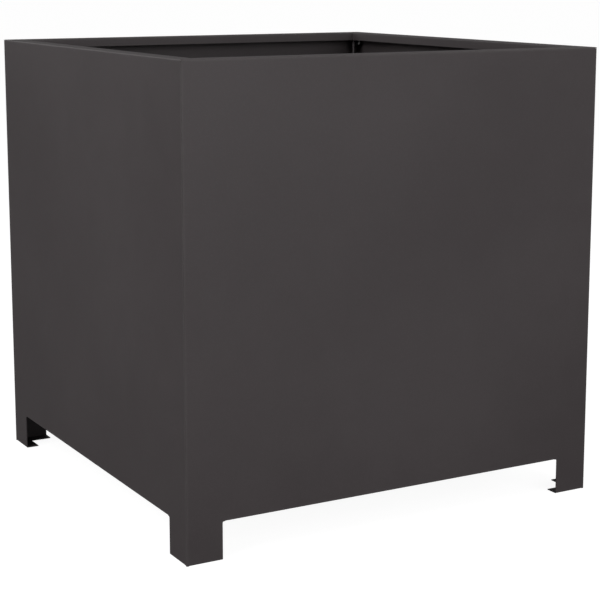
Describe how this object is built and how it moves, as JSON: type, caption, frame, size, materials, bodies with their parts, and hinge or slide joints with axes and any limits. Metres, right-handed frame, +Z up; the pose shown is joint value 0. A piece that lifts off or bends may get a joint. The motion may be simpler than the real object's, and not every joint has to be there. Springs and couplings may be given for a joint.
{
  "type": "raised planter",
  "caption": "Square sheet metal planter box on short corner legs, with a turned-in rim and a floor plate with drain holes.",
  "frame": {"origin": "on the ground, under the middle of the planter", "axes": "+Z up; the front panel faces -Y; the planter is the same after a quarter turn about Z, apart from which side of each corner the nuts are on"},
  "size_m": [0.5, 0.5, 0.5],
  "materials": {
    "powder_coated_steel": "fine textured powder coat, semi-matte warm dark grey",
    "black_zinc_steel": "black zinc plate, worn bright at the bolt ends"
  },
  "bodies": {
    "root": {"back_panel": "powder_coated_steel", "bolt_back_left_bottom": "black_zinc_steel", "bolt_back_left_middle": "black_zinc_steel", "bolt_back_left_top": "black_zinc_steel", "bolt_back_right_bottom": "black_zinc_steel", "bolt_back_right_middle": "black_zinc_steel", "bolt_back_right_top": "black_zinc_steel", "bolt_front_left_bottom": "black_zinc_steel", "bolt_front_left_middle": "black_zinc_steel", "bolt_front_left_top": "black_zinc_steel", "bolt_front_right_bottom": "black_zinc_steel", "bolt_front_right_middle": "black_zinc_steel", "bolt_front_right_top": "black_zinc_steel", "floor_plate": "powder_coated_steel", "front_panel": "powder_coated_steel", "left_panel": "powder_coated_steel", "nut_back_left_bottom": "black_zinc_steel", "nut_back_left_middle": "black_zinc_steel", "nut_back_left_top": "black_zinc_steel", "nut_back_right_bottom": "black_zinc_steel", "nut_back_right_middle": "black_zinc_steel", "nut_back_right_top": "black_zinc_steel", "nut_front_left_bottom": "black_zinc_steel", "nut_front_left_middle": "black_zinc_steel", "nut_front_left_top": "black_zinc_steel", "nut_front_right_bottom": "black_zinc_steel", "nut_front_right_middle": "black_zinc_steel", "nut_front_right_top": "black_zinc_steel", "right_panel": "powder_coated_steel"}
  },
  "joints": []
}
